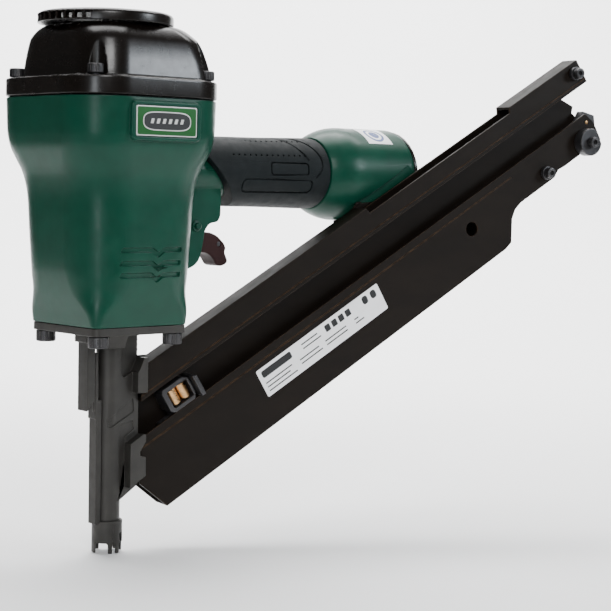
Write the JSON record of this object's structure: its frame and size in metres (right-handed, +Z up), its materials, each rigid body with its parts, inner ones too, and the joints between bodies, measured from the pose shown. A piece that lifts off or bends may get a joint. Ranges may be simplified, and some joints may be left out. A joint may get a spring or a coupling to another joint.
{
  "type": "pneumatic strip nailer",
  "caption": "Air-powered strip nailer with a rounded-square cylinder head, rubber-gripped handle and a long angled stick magazine set beside the handle.",
  "frame": {"origin": "middle of the hand grip, on the handle's axis", "axes": "+Z up, parallel to the driver axis, from the nose to the cap; +X rearwards along the handle, from the driver axis to the air inlet; +Y to the side away from the magazine's feed slot"},
  "size_m": [0.4652, 0.148, 0.3504],
  "materials": {
    "green_paint": "gloss",
    "black_paint": "satin",
    "black_anodised": "satin",
    "rubber": "matte",
    "cast_grey": "satin",
    "dark_steel": "satin",
    "steel": "satin",
    "aluminium": "satin",
    "brass": "satin",
    "trigger_brown": "matte",
    "plate_green": "gloss",
    "bumper_rubber": "matte"
  },
  "bodies": {
    "body": {"housing": "green_paint", "cap": "black_paint", "cap_gasket": "rubber", "cap_screw_1": "dark_steel", "cap_screw_2": "dark_steel", "cap_screw_3": "dark_steel", "cap_screw_4": "dark_steel", "deflector_screw": "dark_steel", "name_plate": "plate_green", "cylinder_sleeve": "aluminium", "bumper": "bumper_rubber", "head_valve_spring": "steel", "nose_casting": "cast_grey", "base_screw_1": "dark_steel", "base_screw_2": "dark_steel", "base_screw_3": "dark_steel", "base_screw_4": "dark_steel", "contact_guard": "cast_grey", "contact_spring": "steel", "trigger_pin": "steel", "trigger_valve": "brass", "grip": "rubber", "end_cap": "black_anodised", "air_inlet": "brass", "end_cap_screw_1": "steel", "end_cap_screw_2": "steel", "end_cap_screw_3": "steel", "magazine_body": "black_anodised", "magazine_bracket": "black_anodised", "end_stop": "dark_steel", "end_stop_screw": "dark_steel", "rear_bushing": "dark_steel", "rear_screw": "dark_steel", "rail_bushing": "dark_steel", "rail_screw": "dark_steel", "pawl_pin": "brass"},
    "drive_piston": {"piston": "aluminium", "piston_ring": "rubber", "driver_blade": "steel"},
    "head_valve": {"head_valve": "aluminium"},
    "deflector": {"exhaust_deflector": "black_paint"},
    "contact": {"work_contact": "cast_grey", "contact_link": "cast_grey"},
    "trigger": {"trigger": "trigger_brown", "rocker_pin": "steel"},
    "rocker": {"trigger_rocker": "steel"},
    "valve_stem": {"valve_stem": "steel"},
    "pusher": {"pusher": "dark_steel", "pusher_tab": "dark_steel", "feed_spring_pin_1": "steel", "feed_spring_pin_2": "steel"},
    "feed_reel_1": {"feed_spring_1": "brass"},
    "feed_reel_2": {"feed_spring_2": "brass"},
    "pawl": {"strip_pawl": "dark_steel"}
  },
  "joints": [
    {"name": "piston_stroke", "type": "slide", "parent": "body", "child": "drive_piston", "axis": [0, 0, -1], "range_m": [0, 0.095]},
    {"name": "head_valve_lift", "type": "slide", "parent": "body", "child": "head_valve", "axis": [0, 0, 1], "range_m": [0, 0.006], "stiffness_N_per_m": 600, "springref_m": -0.012, "deforming": ["head_valve_spring"]},
    {"name": "deflector_turn", "type": "hinge", "parent": "body", "child": "deflector", "pos_m": [-0.127, 0, 0.0965], "axis": [0, 0, 1], "continuous": true},
    {"name": "contact_slide", "type": "slide", "parent": "body", "child": "contact", "axis": [0, 0, 1], "range_m": [0, 0.012], "stiffness_N_per_m": 500, "springref_m": -0.02, "deforming": ["contact_spring"]},
    {"name": "trigger_pull", "type": "hinge", "parent": "body", "child": "trigger", "pos_m": [-0.0612, 0, -0.0367], "axis": [0, -1, 0], "range_deg": [0, 12], "stiffness_Nm_per_rad": 0.6, "springref_deg": -17.19},
    {"name": "rocker_lift", "type": "hinge", "parent": "trigger", "child": "rocker", "pos_m": [-0.0368, 0, -0.0491], "axis": [0, 1, 0], "range_deg": [0, 8.2]},
    {"name": "valve_push", "type": "slide", "parent": "body", "child": "valve_stem", "axis": [0, 0, 1], "range_m": [0, 0.0032]},
    {"name": "pusher_slide", "type": "slide", "parent": "body", "child": "pusher", "axis": [0.8441, -0.1488, 0.515], "range_m": [0, 0.33], "stiffness_N_per_m": 8, "springref_m": -1.2},
    {"name": "feed_reel_1_turn", "type": "hinge", "parent": "pusher", "child": "feed_reel_1", "pos_m": [-0.07789, -0.01123, -0.14981], "axis": [-0.5072, 0.0894, 0.8572], "range_deg": [0, 5000]},
    {"name": "feed_reel_2_turn", "type": "hinge", "parent": "pusher", "child": "feed_reel_2", "pos_m": [-0.07113, -0.01242, -0.14569], "axis": [-0.5072, 0.0894, 0.8572], "range_deg": [0, 5000]},
    {"name": "pawl_swing", "type": "hinge", "parent": "body", "child": "pawl", "pos_m": [0.26941, -0.06902, 0.04364], "axis": [0.1736, 0.9848, 0], "range_deg": [0, 14], "stiffness_Nm_per_rad": 0.15, "springref_deg": -17.19}
  ],
  "couplings": [
    {"joint": "valve_push", "follows": "trigger_pull", "m_per_rad": 0.0143},
    {"joint": "rocker_lift", "follows": "contact_slide", "rad_per_m": 11.64},
    {"joint": "feed_reel_1_turn", "follows": "pusher_slide", "rad_per_m": 263},
    {"joint": "feed_reel_2_turn", "follows": "pusher_slide", "rad_per_m": 263}
  ]
}
